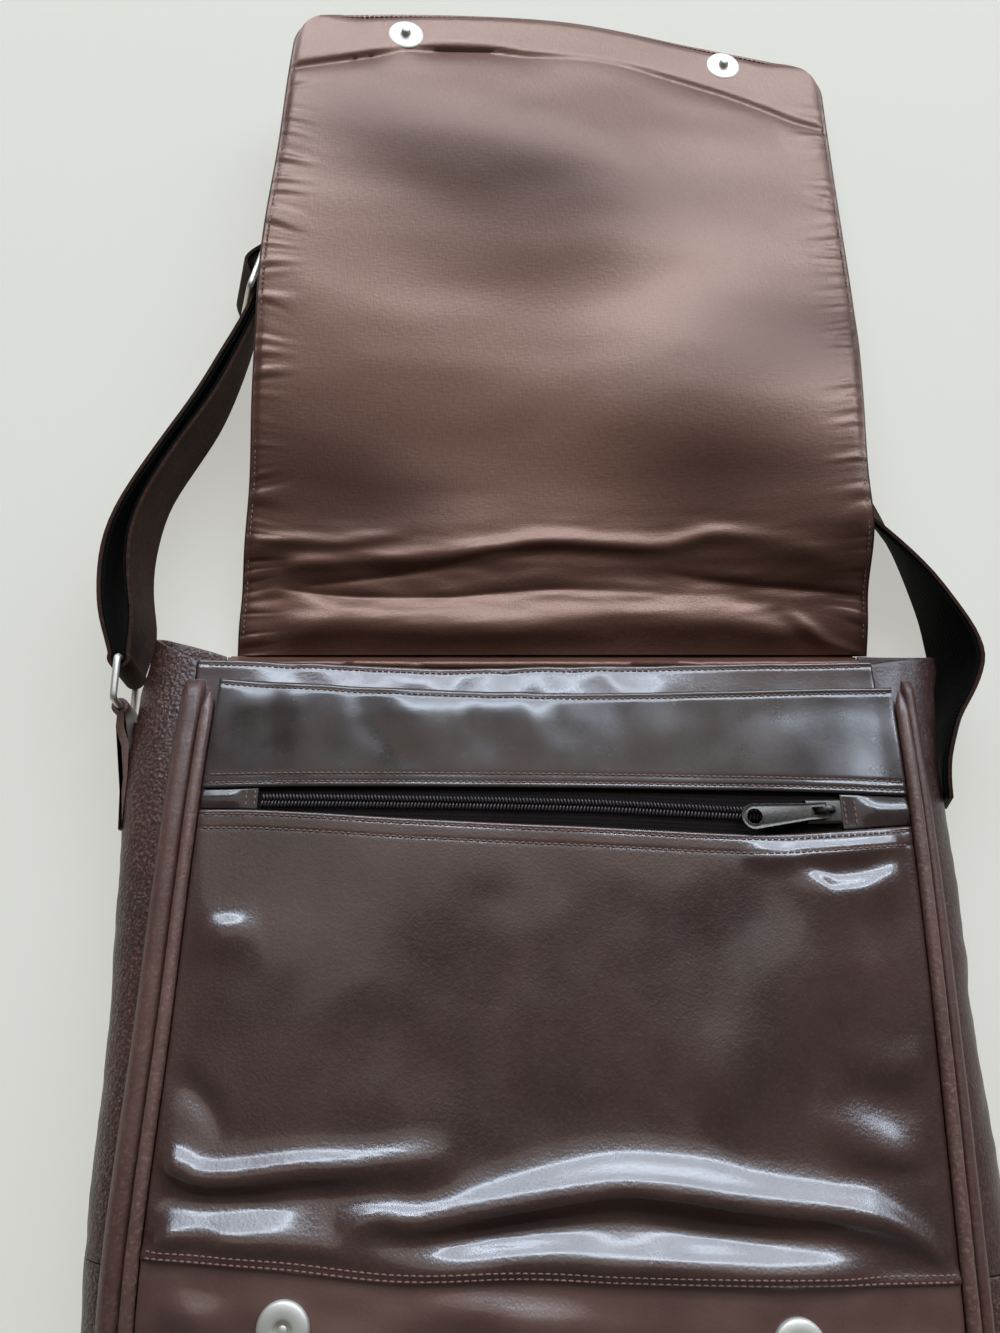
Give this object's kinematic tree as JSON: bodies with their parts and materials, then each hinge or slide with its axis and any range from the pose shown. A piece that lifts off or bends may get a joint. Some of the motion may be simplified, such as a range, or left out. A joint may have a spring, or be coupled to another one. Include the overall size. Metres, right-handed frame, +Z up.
{
  "type": "satchel",
  "caption": "Leather satchel lying on its back with its lined flap thrown open, a zip pocket on the front and a shoulder strap on a ring and a sliding buckle.",
  "frame": {"origin": "centre of the back panel's outer face, on the surface that the bag lies on", "axes": "+Z up off the surface, +Y from the bag's bottom through its mouth to the flap's end, +X to the right of the bag's front"},
  "size_m": [0.3792, 0.6669, 0.0644],
  "materials": {
    "leather": "smooth dark brown with a soft gloss",
    "piping": "worn brown",
    "lining": "brown satin",
    "webbing": "black woven tape",
    "zip": "black coil zip",
    "black_metal": "black enamel",
    "nickel": "nickel plate"
  },
  "bodies": {
    "bag": {"back_panel": "leather", "body_lining": "lining", "gusset_left": "leather", "gusset_right": "leather", "gusset_base": "leather", "front_wall": "leather", "pocket_band": "leather", "pocket_panel": "leather", "pocket_base": "leather", "front_piping": "piping", "pocket_side_left": "leather", "pocket_side_right": "leather", "zip_tape": "zip", "zip_chain": "zip", "zip_tab_left": "leather", "zip_tab_right": "leather", "zip_slider": "black_metal", "flap": "leather", "flap_lining": "lining", "snap_socket_left": "nickel", "snap_socket_right": "nickel", "snap_stud_left": "nickel", "snap_stud_right": "nickel", "strap_leather": "leather", "strap_webbing": "webbing", "strap_ring": "nickel", "strap_slider": "nickel", "ring_tab": "leather"},
    "pull": {"zip_pull": "black_metal"}
  },
  "joints": [
    {"name": "pull_hinge", "type": "hinge", "parent": "bag", "child": "pull", "pos_m": [0.10735, 0.07864, 0.05023], "axis": [-0.0913, 0.9917, -0.091], "range_deg": [0, 150]}
  ]
}
